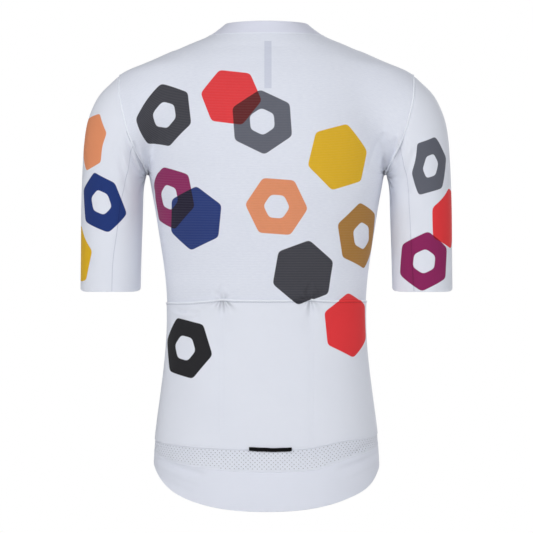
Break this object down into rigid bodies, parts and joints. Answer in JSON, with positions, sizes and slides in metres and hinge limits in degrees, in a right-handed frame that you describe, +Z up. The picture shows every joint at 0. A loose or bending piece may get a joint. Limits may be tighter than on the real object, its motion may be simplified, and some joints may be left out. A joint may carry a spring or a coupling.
{
  "type": "cycling jersey",
  "caption": "Short-sleeved cycling jersey in its worn, hollow shape: full-length front zip, low collar, rear pocket panel, mesh band and gripper hem with a dropped tail.",
  "frame": {"origin": "middle of the neck, level with the ends of the shoulder seams at the collar, where the wearer carries the garment", "axes": "+Z up along the body, +Y towards the wearer's back, +X towards the wearer's left"},
  "size_m": [0.5326, 0.23, 0.686],
  "materials": {
    "knit_back": "white polyester knit with fine horizontal ribs and a sublimated print",
    "knit_smooth": "white smooth stretch knit",
    "mesh_knit": "white open mesh",
    "gripper": "white elastic band with a silicone-grip inside",
    "zip_tape": "white woven polyester tape",
    "zip_coil": "white nylon coil",
    "zip_metal": "grey lacquered die-cast zinc",
    "reflective": "black reflective film on tape"
  },
  "bodies": {
    "garment": {"back_panel": "knit_back", "pocket_panel": "knit_smooth", "mesh_band": "mesh_knit", "hem_back": "gripper", "front_left": "knit_smooth", "front_right": "knit_smooth", "hem_front_left": "gripper", "hem_front_right": "gripper", "sleeve_left": "knit_smooth", "sleeve_right": "knit_smooth", "collar": "knit_smooth", "zip_tape_left": "zip_tape", "zip_tape_right": "zip_tape", "zip_chain": "zip_coil", "zip_slider": "zip_metal", "rear_tab": "reflective", "neck_strip": "knit_smooth"},
    "zip_pull": {"zip_pull": "zip_metal"}
  },
  "joints": [
    {"name": "pull_hinge", "type": "hinge", "parent": "garment", "child": "zip_pull", "pos_m": [0, -0.07519, -0.0288], "axis": [-1, 0, 0], "range_deg": [0, 150]}
  ]
}
